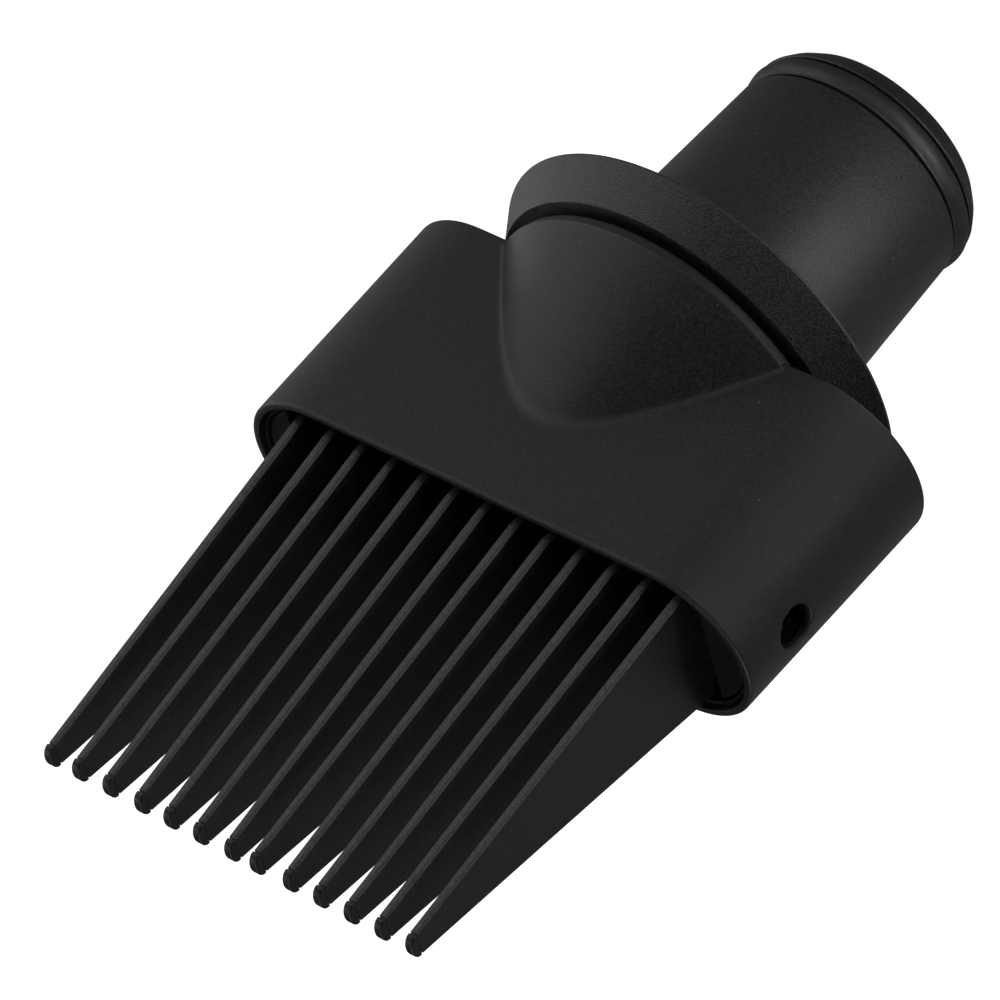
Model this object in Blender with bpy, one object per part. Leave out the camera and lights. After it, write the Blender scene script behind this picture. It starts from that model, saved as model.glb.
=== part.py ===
"""Comb nozzle for a hair dryer: a swivelling flat nozzle with thirteen comb blades.

The air enters the round spigot at the bottom, which plugs into the dryer, and leaves
between the blades at the top. Z runs along the air flow from the spigot's end at z = 0,
X along the row of blades, and Y through the nozzle's thickness.
"""

import math

import bmesh
import bpy
from mathutils import Matrix, Vector

MM = 0.001
GAP = 0.3 * MM                   # clearance between pieces that touch on the real object
ROUND = 48                       # segments round a turned piece
OVAL_END = 16                    # segments round each end of an oval

# Spigot: tube, seal and end ring
END_FACE_R = 17.9 * MM
END_CHAMFER_R = 19.6 * MM
END_RING_R = 20.9 * MM
END_CHAMFER_Z = 1.9 * MM
END_RING_TOP = 4.1 * MM
END_BORE_R = 16.3 * MM
END_FLOOR = 1.2 * MM             # thickness of the end ring's face
NECK_R = 18.4 * MM               # the tube's neck, which carries the seal and the end ring
NECK_BORE_R = 16.6 * MM
SEAL_EDGE_R = 20.5 * MM          # the seal's lower edge
SEAL_TAPER = 0.25 * MM           # how much smaller its upper edge is
SEAL_BULGE = 0.8 * MM            # how far it bulges between them
SEAL_SKEW = 0.8                  # below 1, the bulge is highest nearer to the end ring
SEAL_STEPS = 6
SEAL_TOP = 7.9 * MM
TUBE_REAR = 8.3 * MM             # shoulder behind the seal
TUBE_REAR_R = 20.6 * MM
TUBE_FRONT_R = 22.2 * MM
BORE_R = 19.0 * MM
BORE_START = 12.0 * MM

# Collar
COLLAR_REAR = 45.5 * MM
COLLAR_FRONT = 52.3 * MM
COLLAR_REAR_R = 36.5 * MM
COLLAR_FRONT_R = 32.25 * MM
COLLAR_BORE_R = 22.5 * MM
PLATE_R = 34.3 * MM
PLATE_THICK = 1.1 * MM
WEB_FRONT = 48.2 * MM            # seat of the tube's flange
FLANGE_R = 26.5 * MM
FLANGE_THICK = 2.0 * MM
MAGNETS = 8
MAGNET_R = 2.5 * MM
MAGNET_THICK = 2.0 * MM
MAGNET_CIRCLE_R = 30.6 * MM
MAGNET_SIDES = 16
POCKET_PLAY = 0.25 * MM          # clearance round a magnet in its pocket

# Swivel bearing
HUB_R = 21.0 * MM
HUB_TOP = 60.5 * MM
WASHER_THICK = 0.7 * MM
REAR_WASHER_R = 26.2 * MM
FRONT_WASHER_R = 24.2 * MM
WASHER_BORE_R = HUB_R + GAP
NOZZLE_BORE_R = 21.4 * MM
NOZZLE_NECK_R = 25.6 * MM
CLIP_R = 23.8 * MM
CLIP_THICK = 1.0 * MM
CLIP_GROOVE_R = 20.0 * MM
CLIP_MOUTH = math.radians(40)    # opening of the split ring
CLIP_STEPS = 42

# Nozzle shell
SHELL_REAR = 54.0 * MM
MOUTH = 95.7 * MM
REAR_HALF_LENGTH = 48.5 * MM
REAR_HALF_THICK = 16.1 * MM
MOUTH_HALF_LENGTH = 47.7 * MM
MOUTH_HALF_THICK = 15.2 * MM
SHELL_WALL = 1.25 * MM
REAR_WALL = 2.0 * MM
BOSS_REAR = 55.0 * MM            # rear edge of the cone boss, which meets the collar's gap
BOSS_R = 31.3 * MM
BOSS_BEVEL = 0.3 * MM
BAND_R = 30.7 * MM               # the narrow band behind that edge
BAND_REAR = 53.4 * MM
BOSS_SLOPE = 0.63                # how fast the cone narrows along the air flow
BOSS_WALL = 2.0 * MM             # measured square to the axis
RIM_BEVEL = 0.4 * MM

# Side screws and their access holes
SCREW_Z = 84.4 * MM
ACCESS_R = 3.5 * MM
HEAD_R = 2.8 * MM
HEAD_THICK = 1.7 * MM
SHANK_R = 1.4 * MM
CUP_R = 4.3 * MM                 # the duct's recessed cup, which the screw head bears on
CUP_FLOOR = 1.2 * MM
CUP_INNER_X = 42.5 * MM
SHANK_END_X = 39.6 * MM
RECESS_WIDTH = 0.7 * MM
RECESS_DEPTH = 0.9 * MM
RECESS_REACH = 0.65              # share of the head's radius that the cross recess reaches
HEAD_PLAY = 0.2 * MM             # clearance between the head and the cup's floor
SCREW_SIDES = 24

# Inner duct
DUCT_WALL = 0.8 * MM
DUCT_CONE_WALL = 1.2 * MM
DUCT_FULL_Z = 74.0 * MM          # where the duct reaches its full length along X
DUCT_LIP = 0.9 * MM              # how far the duct stays behind the mouth's rim
DUCT_REAR = SHELL_REAR + REAR_WALL + GAP
DUCT_PLAY = 0.25 * MM            # clearance between the duct and the shell
DUCT_CONE_PLAY = 0.45 * MM       # the same inside the cone boss, measured square to the axis
CUP_SHY = 1.0 * MM               # how far the cups' outer ends stay inside the duct's wall

# Comb
BLADES = 13
PITCH_MOUTH = 6.05 * MM
PITCH_TIP = 5.77 * MM
BLADE_TOP = 157.4 * MM
BLADE_REAR = 79.9 * MM
BLADE_MOUTH_THICK = 1.6 * MM
BLADE_TIP_THICK = 1.4 * MM
FRONT_EDGE_MOUTH = -10.7 * MM    # y of the blade's edges at the mouth and at its end
BACK_EDGE_MOUTH = 12.35 * MM
FRONT_EDGE_TIP = -2.2 * MM
BACK_EDGE_TIP = 2.1 * MM
BLADE_CHAMFER = 0.25 * MM
TIP_HEIGHT = 1.5 * MM
TIP_ARC = 8
TIP_BEVEL = 0.3 * MM
TIP_SHOULDER = 0.1               # share of the tip's height below its half-round end

# Comb carrier
CARRIER_RAIL = 3.0 * MM
CARRIER_REAR = 76.5 * MM
CARRIER_FRONT = 86.0 * MM
LUG_INNER_X = 39.2 * MM          # the lugs carry the screws' threads
LUG_FRONT = 94.5 * MM
SLOT_FLOOR = 79.6 * MM

BIG = 200 * MM


# ---------------------------------------------------------------- tools

def clear_scene():
    for obj in list(bpy.data.objects):
        bpy.data.objects.remove(obj, do_unlink=True)


def material(name, colour, roughness, metallic=0.0):
    """A Principled BSDF with one colour, roughness and metallic value."""
    mat = bpy.data.materials.new(name)
    mat.use_nodes = True
    shader = mat.node_tree.nodes["Principled BSDF"]
    shader.inputs["Base Color"].default_value = (*colour, 1.0)
    shader.inputs["Roughness"].default_value = roughness
    shader.inputs["Metallic"].default_value = metallic
    return mat


def shell_plastic():
    return material("shell_plastic", (0.018, 0.018, 0.018), 0.5)


def comb_plastic():
    return material("comb_plastic", (0.016, 0.016, 0.016), 0.45)


def inner_plastic():
    return material("inner_plastic", (0.012, 0.012, 0.012), 0.55)


def tip_plastic():
    return material("tip_plastic", (0.012, 0.012, 0.012), 0.45)


def seal_rubber():
    return material("seal_rubber", (0.014, 0.014, 0.014), 0.7)


def bearing_plastic():
    return material("bearing_plastic", (0.60, 0.60, 0.57), 0.4)


def spring_steel():
    return material("spring_steel", (0.45, 0.45, 0.46), 0.3, 1.0)


def magnet_nickel():
    return material("magnet_nickel", (0.62, 0.60, 0.56), 0.25, 1.0)


def screw_steel():
    return material("screw_steel", (0.05, 0.05, 0.052), 0.4, 1.0)


def object_from(bm, name, mat=None):
    """Turn a bmesh into a named object with its faces pointing out."""
    bmesh.ops.recalc_face_normals(bm, faces=bm.faces)
    mesh = bpy.data.meshes.new(name)
    bm.to_mesh(mesh)
    bm.free()
    if mat is not None:
        mesh.materials.append(mat)
    obj = bpy.data.objects.new(name, mesh)
    bpy.context.scene.collection.objects.link(obj)
    return obj


def finish(obj, parent=None, sharp_degrees=35):
    """Shade a piece smooth between its sharp edges and hang it on its parent."""
    obj.data.shade_smooth()
    obj.data.set_sharp_from_angle(angle=math.radians(sharp_degrees))
    if parent is not None:
        obj.parent = parent
    return obj


def turned(name, profile, mat=None, segments=ROUND):
    """Spin a closed outline of (radius, height) points about the Z axis."""
    bm = bmesh.new()
    verts = [bm.verts.new((r, 0, z)) for r, z in profile]
    edges = [bm.edges.new((verts[i - 1], verts[i])) for i in range(len(verts))]
    bmesh.ops.spin(bm, geom=verts + edges, cent=(0, 0, 0), axis=(0, 0, 1),
                   angle=2 * math.pi, steps=segments, use_merge=True)
    return object_from(bm, name, mat)


def ring(name, inner, outer, bottom, top, mat=None):
    return turned(name, [(inner, bottom), (outer, bottom), (outer, top), (inner, top)], mat)


def cone(name, bottom, bottom_r, top, top_r, mat=None, segments=ROUND):
    """A solid frustum on the Z axis; equal radii make a cylinder."""
    bm = bmesh.new()
    bmesh.ops.create_cone(bm, cap_ends=True, segments=segments, radius1=bottom_r,
                          radius2=top_r, depth=top - bottom,
                          matrix=Matrix.Translation((0, 0, (top + bottom) / 2)))
    return object_from(bm, name, mat)


def box(name, low, high, mat=None):
    low, high = Vector(low), Vector(high)
    size = high - low
    bm = bmesh.new()
    place = Matrix.Translation((low + high) / 2) @ Matrix.Diagonal((*size, 1))
    bmesh.ops.create_cube(bm, size=1.0, matrix=place)
    return object_from(bm, name, mat)


def oval_points(half_length, half_thick, z):
    """An oval with straight sides along X and round ends."""
    centre = half_length - half_thick
    points = []
    for side in (1, -1):
        for i in range(OVAL_END + 1):
            angle = math.pi * (i / OVAL_END - 0.5)
            points.append((side * (centre + half_thick * math.cos(angle)),
                           side * half_thick * math.sin(angle), z))
    return points


def oval_loft(name, sections, mat=None):
    """A solid through ovals given as (half length, half thickness, height)."""
    bm = bmesh.new()
    loops = [[bm.verts.new(p) for p in oval_points(*section)] for section in sections]
    count = len(loops[0])
    for lower, upper in zip(loops, loops[1:]):
        for i in range(count):
            bm.faces.new((lower[i - 1], lower[i], upper[i], upper[i - 1]))
    bm.faces.new(loops[0])
    bm.faces.new(loops[-1])
    return object_from(bm, name, mat)


def combine(obj, tools, operation):
    """Boolean each tool into obj and delete the tool."""
    for tool in tools:
        modifier = obj.modifiers.new(operation.lower(), "BOOLEAN")
        modifier.object = tool
        modifier.operation = operation
        modifier.solver = "EXACT"
        bpy.context.view_layer.update()
        evaluated = obj.evaluated_get(bpy.context.evaluated_depsgraph_get())
        mesh = bpy.data.meshes.new_from_object(evaluated)
        obj.modifiers.clear()
        obj.data = mesh
        bpy.data.objects.remove(tool, do_unlink=True)
    return obj


def cut(obj, *tools):
    return combine(obj, tools, "DIFFERENCE")


def join(obj, *tools):
    return combine(obj, tools, "UNION")


def side_cylinder(name, radius, inner_x, outer_x, side, z=SCREW_Z, segments=SCREW_SIDES):
    """A cylinder along X at the screw's height, on the side given as 1 or -1."""
    middle = side * (inner_x + outer_x) / 2
    place = Matrix.Translation((middle, 0, z)) @ Matrix.Rotation(math.pi / 2, 4, "Y")
    bm = bmesh.new()
    bmesh.ops.create_cone(bm, cap_ends=True, segments=segments, radius1=radius,
                          radius2=radius, depth=outer_x - inner_x, matrix=place)
    return object_from(bm, name)


def between(z, z0, value0, z1, value1):
    """The straight-line value at height z."""
    return value0 + (value1 - value0) * (z - z0) / (z1 - z0)


# ---------------------------------------------------------------- adaptor

def make_end_ring(mat):
    profile = [
        (END_BORE_R, 0), (END_FACE_R, 0), (END_CHAMFER_R, END_CHAMFER_Z),
        (END_RING_R, END_RING_TOP), (NECK_R + GAP, END_RING_TOP),
        (NECK_R + GAP, END_FLOOR), (END_BORE_R, END_FLOOR),
    ]
    return finish(turned("spigot_end_ring", profile, mat))


def make_seal(mat):
    """A soft ring with a bulging outside, highest nearer to the end ring."""
    bottom = END_RING_TOP + GAP
    inner = NECK_R + GAP
    profile = [(inner, bottom)]
    for i in range(SEAL_STEPS + 1):
        share = i / SEAL_STEPS
        bulge = SEAL_BULGE * math.sin(math.pi * share ** SEAL_SKEW)
        height = between(share, 0, bottom, 1, SEAL_TOP)
        profile.append((SEAL_EDGE_R + bulge - SEAL_TAPER * share, height))
    profile.append((inner, SEAL_TOP))
    return finish(turned("spigot_seal", profile, mat), sharp_degrees=50)


def make_tube(mat):
    """The spigot, its seal neck, the flange that holds the collar and the swivel hub."""
    flange_bottom = WEB_FRONT + GAP
    flange_top = flange_bottom + FLANGE_THICK
    groove_bottom = clip_bottom() - GAP
    groove_top = groove_bottom + CLIP_THICK + 2 * GAP
    profile = [
        (NECK_BORE_R, END_FLOOR + GAP), (NECK_R, END_FLOOR + GAP),
        (NECK_R, TUBE_REAR), (TUBE_REAR_R, TUBE_REAR),
        (TUBE_FRONT_R, COLLAR_REAR), (TUBE_FRONT_R, flange_bottom),
        (FLANGE_R, flange_bottom), (FLANGE_R, flange_top),
        (HUB_R, flange_top), (HUB_R, groove_bottom),
        (CLIP_GROOVE_R, groove_bottom), (CLIP_GROOVE_R, groove_top),
        (HUB_R, groove_top), (HUB_R, HUB_TOP), (BORE_R, HUB_TOP),
        (BORE_R, BORE_START), (NECK_BORE_R, TUBE_REAR),
    ]
    return finish(turned("spigot_tube", profile, mat))


def make_collar(mat):
    """The conical collar, with pockets for the magnets behind and a seat in front."""
    plate_front = COLLAR_REAR + PLATE_THICK + GAP
    profile = [
        (PLATE_R + GAP, COLLAR_REAR), (COLLAR_REAR_R - RIM_BEVEL, COLLAR_REAR),
        (COLLAR_REAR_R, COLLAR_REAR + RIM_BEVEL), (COLLAR_FRONT_R, COLLAR_FRONT),
        (FLANGE_R + GAP, COLLAR_FRONT), (FLANGE_R + GAP, WEB_FRONT),
        (COLLAR_BORE_R, WEB_FRONT), (COLLAR_BORE_R, plate_front),
        (PLATE_R + GAP, plate_front),
    ]
    collar = turned("collar_ring", profile, mat)
    pocket_top = plate_front + MAGNET_THICK + GAP
    for place in magnet_places():
        pocket = cone("pocket", plate_front - GAP, MAGNET_R + POCKET_PLAY, pocket_top,
                      MAGNET_R + POCKET_PLAY, segments=MAGNET_SIDES)
        pocket.location = place
        cut(collar, pocket)
    return finish(collar)


def magnet_places():
    for i in range(MAGNETS):
        angle = 2 * math.pi * (i + 0.5) / MAGNETS
        yield (MAGNET_CIRCLE_R * math.cos(angle), MAGNET_CIRCLE_R * math.sin(angle), 0)


def make_magnets(mat):
    """Eight discs, one in each pocket, sharing one mesh."""
    bottom = COLLAR_REAR + PLATE_THICK + GAP
    disc = cone("collar_magnet_1", bottom, MAGNET_R, bottom + MAGNET_THICK, MAGNET_R, mat,
                segments=MAGNET_SIDES)
    finish(disc)
    for number, place in enumerate(magnet_places(), start=1):
        magnet = disc
        if number > 1:
            magnet = bpy.data.objects.new(f"collar_magnet_{number}", disc.data)
            bpy.context.scene.collection.objects.link(magnet)
        magnet.location = place


def make_back_plate(mat):
    return finish(ring("collar_back_plate", COLLAR_BORE_R, PLATE_R, COLLAR_REAR,
                       COLLAR_REAR + PLATE_THICK, mat))


def rear_washer_bottom():
    return WEB_FRONT + FLANGE_THICK + 2 * GAP


def front_washer_bottom():
    return SHELL_REAR + REAR_WALL + GAP


def clip_bottom():
    return front_washer_bottom() + WASHER_THICK + 2 * GAP


def make_washers(mat):
    rear = ring("swivel_washer_rear", WASHER_BORE_R, REAR_WASHER_R, rear_washer_bottom(),
                rear_washer_bottom() + WASHER_THICK, mat)
    front = ring("swivel_washer_front", WASHER_BORE_R, FRONT_WASHER_R,
                 front_washer_bottom(), front_washer_bottom() + WASHER_THICK, mat)
    return [finish(rear), finish(front)]


def make_clip(mat):
    """A split ring that snaps into the hub's groove and holds the nozzle on."""
    bm = bmesh.new()
    inner, outer = CLIP_GROOVE_R + GAP, CLIP_R
    bottom = clip_bottom()
    corners = [(inner, bottom), (outer, bottom), (outer, bottom + CLIP_THICK),
               (inner, bottom + CLIP_THICK)]
    start = Matrix.Rotation(CLIP_MOUTH / 2, 4, "Z")
    verts = [bm.verts.new(start @ Vector((r, 0, z))) for r, z in corners]
    face = bm.faces.new(verts)
    bmesh.ops.spin(bm, geom=[face], cent=(0, 0, 0), axis=(0, 0, 1),
                   angle=2 * math.pi - CLIP_MOUTH, steps=CLIP_STEPS, use_duplicate=False)
    return finish(object_from(bm, "retaining_clip", mat))


# ---------------------------------------------------------------- nozzle

def shell_outline(z, inset=0.0):
    """Half length and half thickness of the shell's oval at height z."""
    length = between(z, SHELL_REAR, REAR_HALF_LENGTH, MOUTH, MOUTH_HALF_LENGTH)
    thick = between(z, SHELL_REAR, REAR_HALF_THICK, MOUTH, MOUTH_HALF_THICK)
    return length - inset, thick - inset


def boss_radius(z, inset=0.0):
    return BOSS_R - inset - BOSS_SLOPE * (z - BOSS_REAR)


def make_shell(parent, mat):
    """The oval shell with the cone boss, its rear neck and the two screw access holes."""
    sections = [(*shell_outline(SHELL_REAR, RIM_BEVEL), SHELL_REAR)]
    for z in (SHELL_REAR + RIM_BEVEL, MOUTH - RIM_BEVEL):
        sections.append((*shell_outline(z), z))
    sections.append((*shell_outline(MOUTH, RIM_BEVEL), MOUTH))
    shell = oval_loft("nozzle_shell", sections, mat)
    boss_end = BOSS_REAR + (BOSS_R - REAR_HALF_THICK + 4 * MM) / BOSS_SLOPE
    boss_profile = [
        (0, BAND_REAR), (BAND_R, BAND_REAR), (BAND_R, BOSS_REAR),
        (BOSS_R - BOSS_BEVEL, BOSS_REAR),
        (boss_radius(BOSS_REAR + BOSS_BEVEL), BOSS_REAR + BOSS_BEVEL),
        (boss_radius(boss_end), boss_end), (0, boss_end),
    ]
    join(shell, solid_turned("boss", boss_profile))
    neck_bottom = rear_washer_bottom() + WASHER_THICK + GAP
    join(shell, cone("neck", neck_bottom, NOZZLE_NECK_R, SHELL_REAR + MM, NOZZLE_NECK_R))
    cavity_bottom = SHELL_REAR + REAR_WALL
    cavity = oval_loft("cavity", [
        (*shell_outline(cavity_bottom, SHELL_WALL), cavity_bottom),
        (*shell_outline(MOUTH + MM, SHELL_WALL), MOUTH + MM),
    ])
    join(cavity, cone("boss_cavity", cavity_bottom, boss_radius(cavity_bottom, BOSS_WALL),
                      boss_end - 3 * MM, boss_radius(boss_end - 3 * MM, BOSS_WALL)))
    cut(shell, cavity)
    cut(shell, cone("bore", neck_bottom - MM, NOZZLE_BORE_R, cavity_bottom + MM,
                    NOZZLE_BORE_R))
    for side in (1, -1):
        cut(shell, side_cylinder("access", ACCESS_R, CUP_INNER_X, BIG, side))
    return finish(shell, parent)


def solid_turned(name, profile, mat=None):
    """Spin an outline that starts and ends on the axis into a closed solid."""
    bm = bmesh.new()
    verts = [bm.verts.new((r, 0, z)) for r, z in profile]
    edges = [bm.edges.new(pair) for pair in zip(verts, verts[1:])]
    bmesh.ops.spin(bm, geom=verts + edges, cent=(0, 0, 0), axis=(0, 0, 1),
                   angle=2 * math.pi, steps=ROUND, use_merge=True)
    bmesh.ops.remove_doubles(bm, verts=bm.verts, dist=0.001 * MM)
    return object_from(bm, name, mat)


def duct_solid(name, wall, cone_wall, bottom, top):
    """The duct's outside with no walls taken off, or its inside with both."""
    half_thick = duct_half_thick() - wall
    half_length = duct_half_length() - wall
    start_r = boss_radius(DUCT_REAR, BOSS_WALL + DUCT_CONE_PLAY) - cone_wall
    start_r -= BOSS_SLOPE * (bottom - DUCT_REAR)
    solid = oval_loft(name, [
        (start_r, half_thick, bottom), (half_length, half_thick, DUCT_FULL_Z),
        (half_length, half_thick, top),
    ])
    cone_top = bottom + (start_r - half_thick + 2 * MM) / BOSS_SLOPE
    return join(solid, cone("funnel", bottom, start_r, cone_top, half_thick - 2 * MM))


def duct_half_thick():
    return MOUTH_HALF_THICK - SHELL_WALL - DUCT_PLAY


def duct_half_length():
    return MOUTH_HALF_LENGTH - SHELL_WALL - DUCT_PLAY


def make_duct(parent, mat):
    """The liner that leads the air from the round hub to the oval mouth."""
    duct = duct_solid("inner_duct", 0, 0, DUCT_REAR, MOUTH - DUCT_LIP)
    inside = duct_solid("inside", DUCT_WALL, DUCT_CONE_WALL, DUCT_REAR - 0.1 * MM,
                        MOUTH + MM)
    cut(duct, inside)
    cup_outer_x = duct_half_length() - CUP_SHY
    for side in (1, -1):
        join(duct, side_cylinder("cup", CUP_R, CUP_INNER_X, cup_outer_x, side))
        cut(duct, side_cylinder("pocket", ACCESS_R, CUP_INNER_X + CUP_FLOOR, BIG, side))
        cut(duct, side_cylinder("hole", SHANK_R + GAP, CUP_INNER_X - MM, BIG, side))
    return finish(duct, parent)


def blade_x(index, z):
    """Centre of a blade at height z: the row closes up slightly towards the tips."""
    pitch = between(z, MOUTH, PITCH_MOUTH, BLADE_TOP, PITCH_TIP)
    return ((BLADES - 1) / 2 - index) * pitch


def blade_thickness(z):
    return between(z, MOUTH, BLADE_MOUTH_THICK, BLADE_TOP, BLADE_TIP_THICK)


def make_carrier(parent, mat):
    """A slotted oval frame behind the mouth, with a lug at each end for its screw."""
    half_length = duct_half_length() - DUCT_WALL - GAP
    half_thick = duct_half_thick() - DUCT_WALL - GAP
    carrier = oval_loft("comb_carrier", [
        (half_length, half_thick, CARRIER_REAR), (half_length, half_thick, LUG_FRONT),
    ], mat)
    rail = half_thick - CARRIER_RAIL
    cut(carrier, box("window", (-LUG_INNER_X, -rail, CARRIER_REAR - MM),
                     (LUG_INNER_X, rail, LUG_FRONT + MM)))
    cut(carrier, box("lowering", (-LUG_INNER_X, -BIG, CARRIER_FRONT),
                     (LUG_INNER_X, BIG, LUG_FRONT + MM)))
    for index in range(BLADES):
        middle = (SLOT_FLOOR + CARRIER_FRONT) / 2
        half = blade_thickness(SLOT_FLOOR) / 2 + GAP
        x = blade_x(index, middle)
        cut(carrier, box("slot", (x - half, -BIG, SLOT_FLOOR), (x + half, BIG, BIG)))
    for side in (1, -1):
        cut(carrier, cup_guide(side))
        cut(carrier, side_cylinder("thread", SHANK_R + GAP, LUG_INNER_X - MM, BIG, side))
    return finish(carrier, parent)


def cup_guide(side):
    """A round-topped slot that lets the lug slide past the duct's cup."""
    radius = CUP_R + GAP
    outline = [(-radius, CARRIER_REAR - MM)]
    for i in range(OVAL_END + 1):
        angle = math.pi * (1 - i / OVAL_END)
        outline.append((radius * math.cos(angle), SCREW_Z + radius * math.sin(angle)))
    outline.append((radius, CARRIER_REAR - MM))
    bm = bmesh.new()
    inner = [bm.verts.new((side * (CUP_INNER_X - GAP), y, z)) for y, z in outline]
    outer = [bm.verts.new((side * BIG, y, z)) for y, z in outline]
    for i in range(len(outline)):
        bm.faces.new((inner[i - 1], inner[i], outer[i], outer[i - 1]))
    bm.faces.new(inner)
    bm.faces.new(outer)
    return object_from(bm, "guide")


def back_edge(index):
    """How far back a blade reaches at the mouth; the end blades meet the oval's round end."""
    reach = abs(blade_x(index, BLADE_REAR)) + blade_thickness(BLADE_REAR) / 2
    radius = duct_half_thick() - DUCT_WALL
    beyond = max(0.0, reach - (duct_half_length() - duct_half_thick()))
    return min(BACK_EDGE_MOUTH, math.sqrt(radius ** 2 - beyond ** 2) - GAP)


def blade_outline(index):
    """The blade's side view as (y, z): straight edges behind the mouth, then a wedge."""
    back = back_edge(index)
    return [
        (FRONT_EDGE_MOUTH, BLADE_REAR), (back, BLADE_REAR),
        (back, MOUTH), (BACK_EDGE_TIP, BLADE_TOP),
        (FRONT_EDGE_TIP, BLADE_TOP), (FRONT_EDGE_MOUTH, MOUTH),
    ]


def make_blade(index, parent, mat):
    """One comb blade: a thin wedge with chamfered front and back edges."""
    bm = bmesh.new()
    outline = blade_outline(index)
    sides = []
    for sign in (1, -1):
        sides.append([bm.verts.new((blade_x(index, z) + sign * blade_thickness(z) / 2, y, z))
                      for y, z in outline])
    count = len(outline)
    for i in range(count):
        bm.faces.new((sides[0][i - 1], sides[0][i], sides[1][i], sides[1][i - 1]))
    bm.faces.new(sides[0])
    bm.faces.new(sides[1])
    bmesh.ops.recalc_face_normals(bm, faces=bm.faces)
    long_edges = [e for e in bm.edges if is_long_edge(e)]
    bmesh.ops.bevel(bm, geom=long_edges, offset=BLADE_CHAMFER, segments=1, affect="EDGES",
                    profile=0.5)
    blade = object_from(bm, f"comb_blade_{index + 1:02d}", mat)
    return finish(blade, parent)


def is_long_edge(edge):
    """True for the front and back edges of a blade, which run mostly along Z."""
    run = edge.verts[1].co - edge.verts[0].co
    return abs(run.z) > 5 * MM


def make_tip(index, parent, mat):
    """The rounded end piece of a blade."""
    bottom = BLADE_TOP + GAP
    middle = (FRONT_EDGE_TIP + BACK_EDGE_TIP) / 2
    half = (BACK_EDGE_TIP - FRONT_EDGE_TIP) / 2
    thick = BLADE_TIP_THICK / 2
    x = blade_x(index, bottom)
    outline = []
    for i in range(TIP_ARC + 1):
        angle = math.pi * i / TIP_ARC
        outline.append((middle + half * math.cos(angle),
                        between(math.sin(angle), 0, bottom + TIP_SHOULDER * TIP_HEIGHT,
                                1, bottom + TIP_HEIGHT)))
    outline += [(middle - half, bottom), (middle + half, bottom)]
    bm = bmesh.new()
    sides = [[bm.verts.new((x + sign * thick, y, z)) for y, z in outline]
             for sign in (1, -1)]
    for i in range(len(outline)):
        bm.faces.new((sides[0][i - 1], sides[0][i], sides[1][i], sides[1][i - 1]))
    caps = [bm.faces.new(sides[0]), bm.faces.new(sides[1])]
    rims = [e for cap in caps for e in cap.edges
            if max(v.co.z for v in e.verts) > bottom + 0.1 * MM]
    bmesh.ops.recalc_face_normals(bm, faces=bm.faces)
    bmesh.ops.bevel(bm, geom=rims, offset=TIP_BEVEL, segments=1, affect="EDGES",
                    profile=0.5, clamp_overlap=True)
    return finish(object_from(bm, f"blade_tip_{index + 1:02d}", mat), parent)


def make_screw(name, side, parent, mat):
    """A recessed screw with a cross recess, its head on the duct's cup."""
    head_x = CUP_INNER_X + CUP_FLOOR + HEAD_PLAY
    screw = side_cylinder(name, HEAD_R, head_x, head_x + HEAD_THICK, side)
    screw.data.materials.append(mat)
    join(screw, side_cylinder("shank", SHANK_R, SHANK_END_X, head_x + HEAD_THICK / 2, side))
    outer = head_x + HEAD_THICK
    reach = HEAD_R * RECESS_REACH
    half = RECESS_WIDTH / 2
    for arm_y, arm_z in ((reach, half), (half, reach)):
        x0, x1 = sorted((side * (outer - RECESS_DEPTH), side * (outer + MM)))
        cut(screw, box("recess", (x0, -arm_y, SCREW_Z - arm_z), (x1, arm_y, SCREW_Z + arm_z)))
    return finish(screw, parent)


# ---------------------------------------------------------------- assembly

def build():
    clear_scene()
    black = shell_plastic()
    make_end_ring(black)
    make_seal(seal_rubber())
    make_tube(black)
    make_collar(black)
    make_back_plate(black)
    make_magnets(magnet_nickel())
    make_washers(bearing_plastic())
    make_clip(spring_steel())

    nozzle = bpy.data.objects.new("nozzle_axis", None)
    bpy.context.scene.collection.objects.link(nozzle)
    make_shell(nozzle, black)
    inner = inner_plastic()
    make_duct(nozzle, inner)
    make_carrier(nozzle, inner)
    comb = comb_plastic()
    tip = tip_plastic()
    for index in range(BLADES):
        make_blade(index, nozzle, comb)
        make_tip(index, nozzle, tip)
    steel = screw_steel()
    make_screw("side_screw_right", 1, nozzle, steel)
    make_screw("side_screw_left", -1, nozzle, steel)


build()
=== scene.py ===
"""Looks for the comb nozzle: fine meshes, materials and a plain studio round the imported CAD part.

Z runs along the air flow from the spigot's end at z = 0, X along the row of blades, and Y
through the nozzle's thickness. Blade 1 is at +X and blade 13 at -X. All lengths are in metres.
"""

import math

import bmesh
import bpy
import numpy as np
from mathutils import Matrix, Vector


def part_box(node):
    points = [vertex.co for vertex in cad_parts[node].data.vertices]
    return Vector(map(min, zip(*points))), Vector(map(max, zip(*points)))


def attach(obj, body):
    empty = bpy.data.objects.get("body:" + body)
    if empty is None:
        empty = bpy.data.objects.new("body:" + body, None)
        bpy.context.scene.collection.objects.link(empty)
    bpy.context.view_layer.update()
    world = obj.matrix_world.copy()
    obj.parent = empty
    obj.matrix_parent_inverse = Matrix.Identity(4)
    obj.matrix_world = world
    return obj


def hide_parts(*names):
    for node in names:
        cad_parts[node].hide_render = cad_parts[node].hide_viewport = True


MM = 0.001
TAU = 2 * math.pi

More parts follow.
